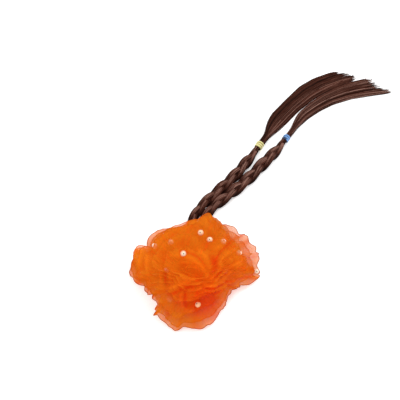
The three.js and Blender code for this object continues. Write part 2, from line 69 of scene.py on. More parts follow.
# Colours
ORANGE = (0.640, 0.164, 0.006)
LIGHT_ORANGE = (0.660, 0.188, 0.008)
# Colour of painted shade and of doubled cloth
RED_ORANGE = (0.64, 0.068, 0.004)
# Hair runs from dark to light; the two ends also serve as painted shade and painted highlight
HAIR_DARK = (0.010, 0.002, 0.001)
HAIR_BROWN = (0.085, 0.024, 0.014)
HAIR_LIGHT = (0.37, 0.20, 0.155)
PEARL_CREAM = (0.78, 0.66, 0.53)
PEARL_WHITE = (0.87, 0.79, 0.69)
# Painted orange reflection of the cloth round a pearl
PEARL_REFLECTED_ORANGE = (0.80, 0.33, 0.08)
# Painted shade in a pearl's hole
PEARL_HOLE_SHADE = (0.22, 0.15, 0.10)
# The dark end of each elastic is reached only in painted shade
YELLOW_DARK = (0.30, 0.24, 0.07)
YELLOW_LIGHT = (0.88, 0.81, 0.34)
BLUE_DARK = (0.002, 0.018, 0.075)
BLUE_LIGHT = (0.19, 0.47, 0.98)
CLIP_BLACK = (0.012, 0.010, 0.010)
CLIP_GREY = (0.022, 0.019, 0.018)
FLOOR_PALE = (0.93, 0.93, 0.93)
FLOOR_WHITE = (0.95, 0.95, 0.95)

# Organza of each kind: share that its threads cover, and how light they are
ORGANZA = {
    "organza_base": (0.79, 0.96),
    "organza_cup": (0.72, 1.0),
    "organza_base_hem": (0.94, 0.7),
    "organza_soft_hem": (0.82, 0.97),
    "organza_cup_hem": (0.79, 0.97),
}
COVER_CHANGE = 0.12
THROUGH_SHARE = 0.5

# Flower: the same named values as the solids
CLIP_HEIGHT = 7.2
GAP = 0.3
WALL = 1.0
LAYER_PITCH = 1.4
FIRST_LAYER_Z = CLIP_HEIGHT + GAP + WALL / 2
FLAT_RADIUS = 13.5
FRONT = 335
FRONT_SPREAD = 1.6
CALM = 0.5
CALM_HEADING = 150
DRIFT = 2.5
MEANDER = 0.45
RUFFLE_START = 0.6
RUFFLE_POWER = 1.35
GROUND_SOFTNESS = 1.2
RIDGE_HALF_WIDTH = 9.8
RIDGE_FALL = 10
CLIP_HEADING = 130
CLIP_FRONT = 13
CLIP_BACK = -27
BRAIDS_UNDER_FLOWER = [(-28.2, 35), (-31, 47), (-31, 75)]
MEAN_REACH = 43
FOLDS = 7
SLOW_FOLDS = 3
SLOW_PHASE = 40
SLOW_SHARE = 0.45

# slant, bend radius, rise at the back and at the front, share cut off at the front, curl, ruffle depth,
# share of the lobes
LAYER_COLUMNS = ("name", "slant", "bend", "back", "front", "cut", "curl", "wave", "lobes")
LAYER_ROWS = [
    ("petal_base_lower", 44, 7, -7, -7, 0, -2, 1.6, 1),
    ("petal_base_upper", 43, 7, 2, 0, 0, -3, 2.6, 1),
    ("petal_cup_1", 42.5, 7, 12, 12, 0.12, -6, 4.2, 0.95),
    ("petal_cup_2", 42.5, 7, 23, 60, 0.26, -12, 4.6, 0.85),
    ("petal_cup_3", 40.5, 6.5, 34, 65, 0.28, -14, 4.6, 0.6),
    ("petal_cup_4", 38, 5.5, 45, 69.5, 0.28, -14, 4.4, 0.4),
    ("petal_cup_5", 35, 4.5, 56, 74, 0.27, -14, 3.6, 0.25),
    ("petal_cup_6", 31.5, 3.5, 67, 78, 0.24, -12, 2.6, 0.1),
    ("petal_cup_7", 16, 3.2, 84, 82, 0.06, -6, 0.4, 0),
]

# Where each lobe or notch of the outline lies around the axis, how far the sheer lowest layer and the
# gathered layers over it reach there, and how frilled the rims are
AROUND, SHEER_REACH, GATHERED_REACH, FRILL = range(4)
LOBES = np.array([
    (12, 30.0, 29.5, 0.6), (26, 34.0, 34.0, 1), (32, 40.5, 38.5, 1.2), (38, 47.0, 41.5, 1.3),
    (56, 49.0, 38.5, 1.3), (76, 50.5, 37.0, 1.2), (95, 49.5, 38.5, 1), (107, 46.0, 42.0, 0.7),
    (118, 47.5, 46.0, 0.6), (127, 42.5, 40.5, 0.4), (148, 38.5, 35.5, 0.2), (165, 45.5, 37.0, 0.2),
    (180, 46.5, 37.5, 0.2), (194, 39.0, 36.5, 0.3), (203, 48.5, 47.5, 0.5), (214, 48.5, 47.5, 0.5),
    (228, 46.0, 45.0, 0.8), (236, 38.5, 38.5, 1.2), (250, 37.0, 37.0, 1.2), (265, 35.0, 35.0, 1),
    (271, 43.0, 41.0, 1), (283, 43.5, 42.0, 0.8), (290, 45.5, 44.0, 0.5), (297, 45.5, 44.0, 0.5),
    (303, 41.5, 39.0, 0.2), (316, 42.5, 36.0, 0), (328, 41.0, 34.0, 0), (345, 34.0, 31.0, 0.2),
], float)

# turns, size, phase
CROWDING = [(1, 0.4, -40), (2, 0.65, 230)]

LEAN = 0.4
LEAN_HEADING = 305
LEAN_RADIUS = 27
CRUMPLE_FROM = 13
CRUMPLE_OVER = 22
CRUMPLE_CLIMB = 0.5
SLIT_HEADING = 12
SLIT_RADIUS = 27
SLIT_PRESS = 0.5
SLIT_STRETCH = 0.4
SWIRL = 34
SWIRL_RADIUS = 26
# push direction, direction of the waves, wavelength, size, phase
CRUMPLES = [(105, 20, 38, 2.4, 60), (20, 115, 34, 2.0, 200), (70, 65, 27, 1.0, 310)]

# Fine cloth: points, hem, and waves round the rim by how many go round
FINE_AROUND = 400
FINE_ALONG = 56
HEM_RADIUS = 0.27
HEM_SIDES = 6
NEARLY_UP_AT_RIM = (0.02, 0.01, 1.0)
UV_RADIUS = 40
CLOTH_SEED = 100
CRIMP_WAVES = (13, 19, 27, 38)
CRIMP_SIZE = 0.8
CRIMP_FADE = 0.1
CRIMP_FROM = 0.12
CRIMP_OVER = 0.2
FRILL_WAVES = (13, 18, 25)
FRILL_SIZE = 1.8
FRILL_FROM = 0.6
FRILL_POWER = 1.5
SCALLOP_WAVES = (9, 16, 29, 47)
SCALLOP_SIZE = 2.2

# Narrow streaks where the frilled cloth doubles up in pleats
PLEAT_WAVES = (17, 26, 37)
PLEAT_GAIN = 1.6
PLEAT_FROM = 0.45
PLEAT_DEEP = 0.45
PLEAT_COVER = 0.3
CUP_PLEATS = 0.8

# Painted glow: the cloth is made to glow, more so in the middle, for the light that comes to it through the
# layers all round
GLOW = 0.46
MIDDLE_X, MIDDLE_Y = 6, -4
MIDDLE_RADIUS = 20
MIDDLE_GLOW = 0.5

# Spots of painted shade, where the cloth is painted redder for light that reaches it only through many
# layers,
# as they look from the front: right, up, radius, strength on the lower layers and on the upper ones
SHADE_SPOTS = [
    (7, -17, 13, 1.1, 0.35), (-11, -14, 7, 0.5, 0.4), (4, -10, 7, 0.3, 0.45), (30, 4, 11, 0.2, 0.2),
]
BASE_LAYERS = 2
LOWER_LAYERS = 3
HEM_DEEP = 0.3

# Where the cloth is thinner, above zero, or doubled, below it, as it looks from the front: right, up, radius,
# strength
SHEER_SPOTS = [(40.5, 17, 8, 0.75), (30, 31.5, 9, 0.7), (-2, -33.5, 8, -0.5)]

# Soft creases across the layers: heading, spacing, height, phase
CREASES = [(20, 13, 0.9, 40), (75, 17, 0.9, 120), (128, 11, 0.7, 250), (160, 9, 0.5, 310)]
CREASE_BEND = 3.0
CREASE_BEND_LENGTH = 31
CREASE_MEAN = 0.36
CREASE_FROM = 0.3
CREASE_OVER = 0.4
# Painted shade in the hollows between the creases
CREASE_SHADE = 0.35

# Long folds of the gathered cloth: start, middle and end as pixels of the photograph,
# then half width and height in millimetres; the height is below zero in a cleft
PHOTO_SIDE = 400
PHOTO_FOLDS = [
    # Lip, left and right half, and the fold under it
    ((163, 291), (178, 284), (194, 279.5), 1.2, 0.9),
    ((194, 280), (214, 285.5), (231, 274), 1.1, 1.0),
    ((200, 287), (211, 291), (225, 286), 1.0, 0.8),
    # Hairpins
    ((209, 279), (216, 273), (222, 265), 0.9, 0.9),
    ((213, 281), (221, 275.5), (227, 269), 0.8, 0.9),
    ((219, 282), (226, 277), (231, 271), 0.8, 0.7),
    # Swirl
    ((194, 249), (204, 254), (209.5, 266), 1.3, 0.7),
    ((165, 256), (187, 256), (203, 268), 1.4, 0.7),
    ((176, 264), (195, 264), (207, 274), 1.3, 0.7),
    # Upright, left
    ((162, 264), (160.5, 276), (163, 288), 1.1, 0.7),
    ((171, 270), (170, 279), (173, 286), 1.0, 0.6),
    # Hanging
    ((183, 289), (181, 302), (187, 311), 1.1, 0.7),
    ((196, 299), (192, 309), (187, 311), 1.0, 0.6),
    # Left lobe
    ((140, 250), (139, 262), (141, 277), 1.2, 0.6),
    ((148, 251), (147, 264), (149, 280), 1.2, 0.6),
    # Upper right, then right
    ((213, 252), (222, 244), (229, 236), 1.4, 0.7),
    ((220, 263), (226, 254), (238, 246), 1.3, 0.7),
    ((228, 268), (238, 263), (248, 257), 1.3, 0.7),
    # Clefts
    ((201, 283.5), (212, 288.5), (227, 282), 0.9, -1.1),
    ((204, 291), (214, 293.5), (224, 289), 1.0, -0.8),
    ((214.5, 277.5), (219, 273.5), (223, 269.5), 0.7, -1.0),
    ((218, 279), (223, 275.5), (227.5, 272), 0.7, -0.8),
    ((168, 294), (184, 288), (199, 283), 1.2, -0.6),
    ((166.5, 268), (165.5, 278), (167.5, 287), 1.1, -0.6),
    ((185.5, 290), (185, 300), (186, 307), 1.0, -0.8),
    ((211, 256), (215, 263), (213, 271), 2.6, -0.8),
    ((182, 251), (197, 256), (206, 268), 1.1, -0.6),
    ((217, 257), (223, 249), (233, 241), 1.2, -0.6),
    ((242, 257), (250, 259), (257, 258.5), 0.8, -0.7),
    ((236, 280), (247, 278.5), (257, 275), 0.9, -0.7),
]
# A point in the middle of the folds, which gives how far they are from the camera
FOLDS_MIDDLE = (5, -5, 22)
DRAPE_STEPS = 8
# Painted shade in the clefts and painted highlight on the ridges of the long folds
CLEFT_SHADE = 0.9
FOLD_HIGHLIGHT = 0.8

# Half pearls: layer, direction, share of the slant, share of the painted orange reflection that the cloth
# round it throws on it
PEARLS = [
    ("petal_cup_4", 108, 0.94, 0.5),
    ("petal_cup_4", 90, 0.92, 0.4),
    ("petal_cup_6", 122, 0.9, 0.15),
    ("petal_base_lower", 48, 0.94, 0.1),
    ("petal_cup_1", 318, 0.88, 0.65),
    ("petal_cup_4", 224, 0.56, 0.3),
    ("petal_cup_2", 62, 0.95, 0.3),
    ("petal_cup_4", 158, 0.82, 0.3),
    ("petal_cup_3", 190, 0.94, 0.3),
    ("petal_cup_3", 84, 0.86, 0.3),
    ("petal_cup_1", 44, 0.56, 0.3),
    ("petal_base_upper", 274, 0.69, 0.3),
    ("petal_base_lower", 279, 0.88, 0.3),
]
PEARL_RADIUS = 2.2
PEARL_HEIGHT = 2.6
PEARL_EDGE = 0.4
PEARL_BACK = 0.86 * PEARL_RADIUS
PEARL_ROUNDNESS = 0.9
PEARL_LIFT = 0.15
PEARL_ROWS = 14
PEARL_COLUMNS = 28
EDGE_REFLECTION = 0.9
EDGE_REFLECTION_FADE = 1.3
DIMPLE_RADIUS = 0.5
DIMPLE_FLOOR = 0.8 * DIMPLE_RADIUS
DIMPLE_DEPTH = 0.5

# Braids: lines along the surface, and sections of the tufts
BRAID_PERIOD = 46
GROUND_GAP = 0.1
BRAID_END_GAP = 0.7
LINE_STEPS = 40
BAND_LINE_POINTS = 200
BRAID_A_LINE = [
    (-12.2, 8.2), (-24.0, 21.5), (-32.5, 32.5), (-35.4, 45.8), (-35.1, 57.6), (-34.4, 72.0),
    (-34.3, 88.0), (-35.6, 103.1), (-37.2, 114.9),
]
BRAID_B_LINE = [
    (-5.2, 14.2), (-16.2, 26.5), (-25.2, 37.6), (-28.2, 49.0), (-27.2, 62.0), (-25.4, 77.0),
    (-24.3, 91.7), (-24.6, 106.3), (-24.5, 119.7), (-25.9, 134.6),
]
# How far along the braids each section lies, and the tuft's left and right edge there
TUFT_A_SECTIONS = np.array([
    (121.5, -39.8, -36.2), (128, -43.0, -36.7), (135.6, -46.4, -36.6), (149, -49.9, -36.5),
    (165, -50.3, -36.8), (184, -50.0, -34.6), (198.6, -46.8, -30.4), (212.4, -40.8, -24.8),
    (222, -33.5, -20.0),
], float)
TUFT_B_SECTIONS = np.array([
    (140.5, -28.6, -24.6), (146, -30.8, -25.8), (151.3, -32.2, -26.6), (165.7, -34.6, -26.0),
    (178, -33.6, -23.6), (190, -31.6, -19.6), (204, -27.3, -11.9), (216.4, -22.0, -2.3),
    (230, -13.2, 9.0),
], float)
# How far along the braids the hair ends, by its place between the left edge, 0, and the right one, 1
TUFT_A_TIPS = np.array([(0, 211.5), (0.25, 217), (0.5, 218.6), (1, 219)], float)
TUFT_B_TIPS = np.array([(0, 226.4), (0.3, 225.7), (0.62, 224.6), (0.72, 226.5), (0.9, 229), (1, 228)], float)
BRAIDS = [
    {
        "name": "braid_a", "line": BRAID_A_LINE, "radius": 1.34, "swing": 2.75, "rise": 2.1,
        "band": "band_yellow", "band_radius": 3.15, "band_width": 5.4,
        "tuft": "tuft_a", "sections": TUFT_A_SECTIONS, "tips": TUFT_A_TIPS, "seed": 11,
    },
    {
        "name": "braid_b", "line": BRAID_B_LINE, "radius": 1.42, "swing": 3.05, "rise": 2.1,
        "band": "band_blue", "band_radius": 2.85, "band_width": 4.8,
        "tuft": "tuft_b", "sections": TUFT_B_SECTIONS, "tips": TUFT_B_TIPS, "seed": 23,
    },
]
STRANDS = 3
# share of the length from the clip, share of the full braid
FULLNESS = np.array([(0, 0.62), (0.28, 0.78), (0.42, 0.9), (0.56, 0.98), (0.65, 1), (0.84, 1), (1, 0.6)])

# Fibres of the strands
FIBRE_SIDES = 3
NEARLY_UP_IN_HAIR = (0.03, 0.02, 1.0)
FIBRE_RADIUS = 0.16
FIBRE_RANGE = (0.8, 1.3)
FIBRE_FLOOR = 0.05
STRAND_FIBRES = 56
STRAND_STEPS = 96
STRAND_WIDTH = 1.72
STRAND_THICKNESS = 1.12
STRAND_SWING = 0.76
STRAND_DEPTHS = (0.9, 1.04)
STRAND_JITTER = 0.05
STRAND_TWIST = 1.1
WANDER_WAVES = 5
WANDER_LENGTH = 3
CORE_SIDES = 12
CORE_SHARE = 0.9
CORE_FLOOR = 0.1
# Painted shade: the core is dark, as the inside of a strand looks in shade
CORE_SHADE = 0.05
# Tones run from dark, 0, to light, 1
STRAND_TONE = 0.24
STRAND_STREAKS = 0.19
# Painted highlights on the arches and on the strands' tops, painted shade at their sides and near the flower
ARCH_SHINE = 0.5
CREST_SHINE = 0.6
ROOT_SHADE = 0.45
ROOT_LENGTH = 0.45

# Where the strands go into the band: length of the change, then offset and radius there
BAND_BORE = 2.2
JOIN_LENGTH = 5
JOIN_OFFSET = 0.45 * BAND_BORE
JOIN_RADIUS = 0.55 * BAND_BORE

# Flat elastic of the bands, and its last turn, which crosses the others
BAND_TURNS = 3
BAND_STEPS = 220
BAND_FLOOR = 0.06
STEP_OVER = 0.15
ELASTIC_HALF = 0.42
ELASTIC_SIDES = 12
GROOVE_SHADE = 0.1
THREAD_CONTRAST = 0.3
THREAD_TONE = 0.8
CROSSING_START = 0.8
CROSSING_TURNS = 1.05
CROSSING_STEPS = 60
CROSSING_LIFT = 0.25
CROSSING_WIDTH = 0.7
# How light each turn of a band looks, from the braid to the tuft, and then the turn that crosses them, as
# painted shade and highlight
TURN_SHADES = {"band_yellow": (1, 0.9, 0.8, 0.95), "band_blue": (0, 0.75, 0.85, 0.95)}

# Fibres of the tufts, which lie in locks
TUFT_SEED = 50
TUFT_FIBRES = 520
TUFT_LOCKS = 70
TUFT_STEPS = 24
TUFT_RADIUS = 0.17
TUFT_RANGE = (0.8, 1.25)
TUFT_HEIGHT = 3.6
TUFT_FLOOR = 0.2
TUFT_SPILL = 0.05
TUFT_WAVE = 0.16
TUFT_WAVES = 3
TUFT_TONE = 0.22
TUFT_STREAKS = 0.2
LOCK_STREAKS = 0.22
LOCK_MARGIN = 0.1
LOCK_WIDTH = 0.04
LOCK_DEPTH = 0.15
# Painted highlight on the upper fibres of a tuft and painted shade on the lower ones
LEVEL_SHINE = 0.25
TIP_SPREAD = 1.9
TIP_REACH = 2.4
TIP_SHORTFALL = 4
TIP_RAGGED = 1.5
SHORT_SHARE = 0.12
SHORT_BY = (2, 16)
LOOSE_LENGTH = 22
GATHER = 0.55
GATHER_FROM = 0.72
THIN = 0.4
THIN_FROM = 0.93
NECK_INSET = 1.0
NECK_WIDTH = 0.95
NECK_HEIGHT = 0.9
CROWN_EDGE = 0.25
FALL = 0.6
FALL_FROM = 20


def smooth(v):
    v = np.clip(v, 0, 1)
    return v * v * (3 - 2 * v)


def smooth_steps(at, places, values):
    """Values read from a table, with level tangents at its rows."""
    last = np.clip(np.searchsorted(places, at, side="right") - 1, 0, len(places) - 2)
    share = (at - places[last]) / (places[last + 1] - places[last])
    return values[last] + (values[last + 1] - values[last]) * smooth(share)


def unit(vectors):
    return vectors / np.linalg.norm(vectors, axis=-1, keepdims=True)


def cos_sin(degrees):
    return math.cos(degrees * DEG), math.sin(degrees * DEG)


def walked_along(line):
    """How far each point lies along a line of points."""
    return np.concatenate([[0], np.cumsum(np.linalg.norm(np.diff(line, axis=0), axis=1))])


# Meshes


def add_to_scene(name, data):
    made = bpy.data.objects.new(name, data)
    bpy.context.scene.collection.objects.link(made)
    return made


def mesh_object(name, points, faces, material, uv=None, values=None, shade_smooth=True):
    mesh = bpy.data.meshes.new(name)
    mesh.from_pydata((np.asarray(points) * MM).tolist(), [], [list(f) for f in faces])
    if uv is not None:
        layer = mesh.uv_layers.new(name="cloth")
        loops = np.empty(len(mesh.loops), np.int32)
        mesh.loops.foreach_get("vertex_index", loops)
        layer.data.foreach_set("uv", np.asarray(uv, np.float32)[loops].ravel())
    for key, value in (values or {}).items():
        attribute = mesh.attributes.new(key, "FLOAT", "POINT")
        attribute.data.foreach_set("value", np.asarray(value, np.float32))
    mesh.polygons.foreach_set("use_smooth", [shade_smooth] * len(mesh.polygons))
    mesh.materials.append(material)
    mesh.update()
    return add_to_scene(name, mesh)


def grid_faces(rows, columns, first=0, closed=False):
    """Quads between rows of points, each row a ring; closed also joins the last row to the first."""
    faces = []
    for i in range(rows if closed else rows - 1):
        low, high = first + i * columns, first + (i + 1) % rows * columns
        for j in range(columns):
            k = (j + 1) % columns
            faces.append((low + j, high + j, high + k, low + k))
    return faces


def tube_faces(steps, sides, first=0):
    """Faces of a tube with closed ends."""
    last = first + (steps - 1) * sides
    ends = [tuple(first + j for j in range(sides)), tuple(last + j for j in reversed(range(sides)))]
    return grid_faces(steps, sides, first) + ends


def sections(ahead, sides, nearly_up):
    """Points of a round section, one unit across each way, at right angles to each direction ahead."""
    across = unit(np.cross(ahead, nearly_up))[..., None, :]
    above = np.cross(across, ahead[..., None, :])
    angle = (np.arange(sides) * TURN / sides)[:, None]
    return across * np.cos(angle) + above * np.sin(angle)


# Materials


class Look:
    """A material, with short ways to add the nodes that these looks need."""

    def __init__(self, name):
        self.material = bpy.data.materials.new(name)
        self.material.use_nodes = True
        self.tree = self.material.node_tree
        self.tree.nodes.clear()

    def node(self, kind, inputs=None, **settings):
        """A new node; each of its inputs is a plain value or another node's output."""
        made = self.tree.nodes.new("ShaderNode" + kind)
        for key, value in settings.items():
            setattr(made, key, value)
        for key, value in (inputs or {}).items():
            if isinstance(value, bpy.types.NodeSocket):
                self.tree.links.new(value, made.inputs[key])
            else:
                made.inputs[key].default_value = value
        return made

    def attribute(self, name):
        return self.node("Attribute", attribute_name=name).outputs["Fac"]

    def place(self, kind="Object"):
        if kind == "UV":
            return self.node("UVMap", uv_map="cloth").outputs[0]
        return self.node("TexCoord").outputs[kind]

    def noise(self, place, scale, **more):
        return self.node("TexNoise", {"Vector": place, "Scale": scale, **more}).outputs["Fac"]

    def threads(self, place, direction, scale, distortion):
        inputs = {"Vector": place, "Scale": scale, "Distortion": distortion}
        return self.node("TexWave", inputs, bands_direction=direction).outputs["Fac"]

    def math(self, kind, *values):
        return self.node("Math", dict(enumerate(values)), operation=kind).outputs[0]

    def varied(self, cover, pattern):
        """A cover that a pattern makes a little denser here and thinner there."""
        return self.math("ADD", self.math("MULTIPLY_ADD", pattern, COVER_CHANGE, -COVER_CHANGE / 2), cover)

    def mix(self, factor, a, b):
        """A mix of two colours, each three numbers or another node's output."""
        a, b = (c if isinstance(c, bpy.types.NodeSocket) else (*c, 1) for c in (a, b))
        return self.node("Mix", {"Factor": factor, "A": a, "B": b}, data_type="RGBA").outputs["Result"]

    def bump(self, height, strength, distance):
        inputs = {"Height": height, "Strength": strength, "Distance": distance}
        return self.node("Bump", inputs).outputs[0]

    def surface(self, **inputs):
        """A plain surface; an input's name has _ for each space."""
        return self.node("BsdfPrincipled", {k.replace("_", " "): v for k, v in inputs.items()}).outputs[0]

    def mixed_surface(self, factor, a, b):
        return self.node("MixShader", {0: factor, 1: a, 2: b}).outputs[0]

    def finish(self, surface):
        self.node("OutputMaterial", {"Surface": surface})
        return self.material


def shaded(colour, shade):
    red, green, blue = colour
    return red * shade, green * shade, blue


def organza_material(name, cover, shade):
    """Sheer cloth: a fine weave that scatters light both ways and lets part of it straight through."""
    look = Look(name)
    place = look.place("UV")
    cloud = look.noise(place, scale=0.12, Detail=3)
    for direction in ("X", "Y"):
        cover = look.varied(cover, look.threads(place, direction, scale=0.9, distortion=0.4))
    cover = look.math("ADD", look.math("MULTIPLY", look.attribute("pleat"), PLEAT_COVER), cover)
    cover = look.varied(cover, cloud)
    colour = look.mix(cloud, shaded(ORANGE, shade), shaded(LIGHT_ORANGE, shade))
    # Painted shade, and doubled cloth, turn the colour redder
    colour = look.mix(look.attribute("shade_and_doubling"), colour, shaded(RED_ORANGE, shade))
    # The emission is a painted glow
    face = look.surface(
        Base_Color=colour, Roughness=0.5, Specular_IOR_Level=0.12, Specular_Tint=(1, 0.5, 0.2, 1),
        Emission_Color=colour, Emission_Strength=look.attribute("glow"),
    )
    through = look.node("BsdfTranslucent", {"Color": colour}).outputs[0]
    clear = look.node("BsdfTransparent", {"Color": (1, 1, 1, 1)}).outputs[0]
    cloth = look.mixed_surface(THROUGH_SHARE, face, through)
    return look.finish(look.mixed_surface(cover, clear, cloth))


def hair_material():
    look = Look("hair")
    ramp = look.node("ValToRGB", {0: look.attribute("tone")})
    ramp.color_ramp.elements[0].color = (*HAIR_DARK, 1)
    ramp.color_ramp.elements[1].color = (*HAIR_LIGHT, 1)
    ramp.color_ramp.elements.new(0.5).color = (*HAIR_BROWN, 1)
    return look.finish(look.surface(
        Base_Color=ramp.outputs[0], Roughness=0.42, Specular_IOR_Level=0.14, Specular_Tint=(1, 0.6, 0.5, 1),
    ))


def pearl_material():
    look = Look("pearl")
    colour = look.mix(look.noise(look.place(), scale=500), PEARL_CREAM, PEARL_WHITE)
    # Painted orange reflection of the cloth round the pearl
    colour = look.mix(look.attribute("edge"), colour, PEARL_REFLECTED_ORANGE)
    # Painted shade in the hole
    colour = look.mix(look.attribute("dimple"), colour, PEARL_HOLE_SHADE)
    # A faint emission: a painted glow
    return look.finish(look.surface(
        Base_Color=colour, Roughness=0.18, Coat_Weight=0.6, Coat_Roughness=0.08, Sheen_Weight=0.3,
        Emission_Color=colour, Emission_Strength=0.05,
    ))


def elastic_material(name, dark, light):
    """Covered elastic: fine threads wound round the band, with painted shade in the grooves between its turns
    and painted light and shade on each turn.
    """
    look = Look(name)
    thread = look.threads(look.place("UV"), "DIAGONAL", scale=1.1, distortion=1.0)
    weave = look.math("MULTIPLY_ADD", thread, THREAD_CONTRAST, THREAD_TONE)
    colour = look.mix(look.math("MULTIPLY", look.attribute("tone"), weave), dark, light)
    return look.finish(look.surface(
        Base_Color=colour, Roughness=0.6, Sheen_Weight=0.3,
        Normal=look.bump(thread, strength=0.5, distance=0.0002),
    ))


def clip_material():
    look = Look("clip_paint")
    grain = look.noise(look.place(), scale=900, Detail=4)
    return look.finish(look.surface(
        Base_Color=look.mix(grain, CLIP_BLACK, CLIP_GREY), Metallic=0.6, Roughness=0.38,
        Normal=look.bump(grain, strength=0.15, distance=0.0001),
    ))


def floor_material():
    look = Look("floor")
    colour = look.mix(look.noise(look.place(), scale=3), FLOOR_PALE, FLOOR_WHITE)
    return look.finish(look.surface(
        Base_Color=colour, Roughness=0.9, Specular_IOR_Level=0.05,
        Emission_Color=(1, 1, 1, 1), Emission_Strength=FLOOR_GLOW,
    ))


# The flower's cloth


def lobe_value(theta, column):
    """A column of the lobes' table, read smoothly round the axis."""
    around = np.concatenate([[LOBES[-1, AROUND] - 360], LOBES[:, AROUND], [LOBES[0, AROUND] + 360]])
    values = np.concatenate([LOBES[-1:, column], LOBES[:, column], LOBES[:1, column]])
    return smooth_steps(np.mod(theta / DEG, 360), around, values)


def distance_to_edge(x, y, a, b):
    d = b - a
    t = np.clip(((x - a[0]) * d[0] + (y - a[1]) * d[1]) / (d @ d), 0, 1)
    return np.hypot(x - a[0] - t * d[0], y - a[1] - t * d[1])


def ridge_height(x, y):
    """Height of the clip and the braids, which the cloth lies over."""
    heading = np.array(cos_sin(CLIP_HEADING))
    line = np.array([CLIP_BACK * heading, CLIP_FRONT * heading, *BRAIDS_UNDER_FLOWER])
    nearest = np.full(np.shape(x), np.inf)
    for a, b in zip(line[:-1], line[1:]):
        nearest = np.minimum(nearest, distance_to_edge(x, y, a, b))
    return CLIP_HEIGHT * (1 - smooth((nearest - RIDGE_HALF_WIDTH) / RIDGE_FALL))


def fold_phase(theta):
    return FOLDS * theta + sum(size * np.sin(turns * theta + phase * DEG) for turns, size, phase in CROWDING)


def crumpled(x, y, z):
    """Where the crumpled, swirled and leaning middle of the flower moves a point to."""
    amount = smooth((z - CRUMPLE_FROM) / CRUMPLE_OVER)
    radius = np.hypot(x, y)
    pressed = amount * np.exp(-((radius / SLIT_RADIUS) ** 2))
    cos, sin = cos_sin(SLIT_HEADING)
    lengthways = (x * cos + y * sin) * (1 + SLIT_STRETCH * pressed)
    across = (y * cos - x * sin) * (1 - SLIT_PRESS * pressed)
    turn = amount * SWIRL * DEG * np.exp(-((radius / SWIRL_RADIUS) ** 2)) + SLIT_HEADING * DEG
    px = lengthways * np.cos(turn) - across * np.sin(turn)
    py = lengthways * np.sin(turn) + across * np.cos(turn)
    for push, waves, wavelength, size, phase in CRUMPLES:
        cos, sin = cos_sin(waves)
        along = x * cos + y * sin + CRUMPLE_CLIMB * z
        moved = amount * size * np.sin(TURN * along / wavelength + phase * DEG)
        cos, sin = cos_sin(push)
        px, py = px + moved * cos, py + moved * sin
    lean = LEAN * np.maximum(0, z - FIRST_LAYER_Z) * np.exp(-((radius / LEAN_RADIUS) ** 2))
    cos, sin = cos_sin(LEAN_HEADING)
    return px + lean * cos, py + lean * sin


def crease_height(x, y):
    """Height of the sharp ridges and round hollows that crumpled organza keeps."""
    height = 0
    for heading, spacing, size, phase in CREASES:
        cos, sin = cos_sin(heading)
        wander = CREASE_BEND * np.sin(TURN * (y * cos - x * sin) / CREASE_BEND_LENGTH + phase * DEG)
        ridge = 1 - np.abs(np.sin(math.pi * (x * cos + y * sin + wander) / spacing + phase * DEG))
        height = height + size * (ridge - CREASE_MEAN)
    return height


def front_view():
    """Directions to the right, up and towards the viewer, for a look at the flower from the front."""
    cos, sin = cos_sin(CAMERA_AZIMUTH)
    level, steep = cos_sin(CAMERA_ELEVATION)
    right = np.array([cos, sin, 0])
    up = np.array([-sin * steep, cos * steep, level])
    return right, up, np.cross(right, up)


def seen_from_front(x, y, z):
    """How far right of the axis and up from it a point looks from the front."""
    right, up, _ = front_view()
    return x * right[0] + y * right[1], x * up[0] + y * up[1] + z * up[2]


def photo_point(pixel):
    """How far right of the axis and up from it a pixel of the photograph lies, at the depth of the folds."""
    right, up, toward = front_view()
    target = np.array(CAMERA_TARGET) / MM
    depth = CAMERA_DISTANCE / MM + (target - FOLDS_MIDDLE) @ toward
    scale = depth * SENSOR_WIDTH / CAMERA_LENS / PHOTO_SIDE
    across, below = np.array(pixel) - PHOTO_SIDE / 2
    return np.array([target @ right + across * scale, target @ up - below * scale])


DRAPES = [([photo_point(pixel) for pixel in pixels], half, size) for *pixels, half, size in PHOTO_FOLDS]


def drape_height(x, y, z):
    """How far the long folds stand out towards a viewer in front."""
    across, above = seen_from_front(x, y, z)
    height = np.zeros(np.shape(across))
    t = np.linspace(0, 1, DRAPE_STEPS + 1)[:, None]
    taper = np.sin(math.pi * (t[:-1, 0] + t[1:, 0]) / 2) ** 0.5
    for (start, middle, end), half, size in DRAPES:
        line = start * (1 - t) * (1 - 2 * t) + middle * 4 * t * (1 - t) + end * t * (2 * t - 1)
        fold = np.zeros(np.shape(across))
        for a, b, share in zip(line[:-1], line[1:], taper):
            fold = np.maximum(fold, share * np.exp(-(distance_to_edge(across, above, a, b) / half) ** 2))
        height = height + size * fold
    return height


def drawn_waves(draw, counts, least=0.5):
    """Waves round the rim: how many go round, size and phase."""
    return [(n, draw.uniform(least, 1), draw.uniform(0, TURN)) for n in counts]


def wave_sum(rows, theta):
    return sum(size * np.sin(n * theta + phase) for n, size, phase in rows) / len(rows)


